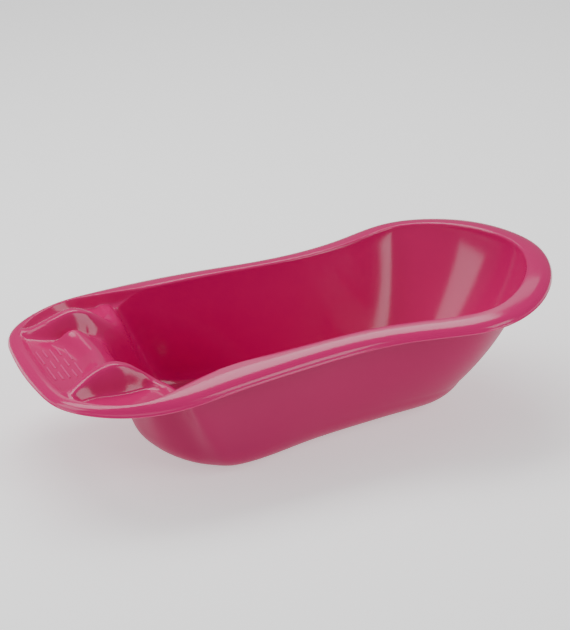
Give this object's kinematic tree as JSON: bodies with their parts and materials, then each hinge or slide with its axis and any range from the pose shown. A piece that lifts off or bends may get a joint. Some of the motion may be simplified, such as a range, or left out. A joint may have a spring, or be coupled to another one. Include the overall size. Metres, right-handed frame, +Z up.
{
  "type": "baby bathtub",
  "caption": "Baby bathtub with a rolled rim, two corner soap dishes, a ribbed tray at the foot end, and a floor drain with a lift-out stopper.",
  "frame": {"origin": "on the ground under the middle of the tub's length and width", "axes": "+X towards the head end, +Z up, the foot deck with the soap dishes is at -X"},
  "size_m": [1, 0.492, 0.278],
  "materials": {
    "tub_plastic": "glossy moulded polypropylene, crimson pink, satin on the outside",
    "drain_plastic": "white moulded plastic",
    "nut_plastic": "off-white moulded plastic",
    "seal_rubber": "black rubber"
  },
  "bodies": {
    "tub_body": {"tub": "tub_plastic", "drain_outlet": "drain_plastic", "drain_gasket": "seal_rubber", "slip_washer": "nut_plastic", "drain_nut": "nut_plastic"},
    "stopper_body": {"drain_stopper": "drain_plastic", "stopper_seal": "seal_rubber"},
    "pull_ring_body": {"stopper_pull_ring": "drain_plastic"}
  },
  "joints": [
    {"name": "stopper_lift", "type": "slide", "parent": "tub_body", "child": "stopper_body", "axis": [0, 0, 1], "range_m": [0, 0.06]},
    {"name": "pull_ring_flip", "type": "hinge", "parent": "stopper_body", "child": "pull_ring_body", "pos_m": [-0.195, 0, 0.0255], "axis": [0, -1, 0], "range_deg": [0, 164]}
  ]
}
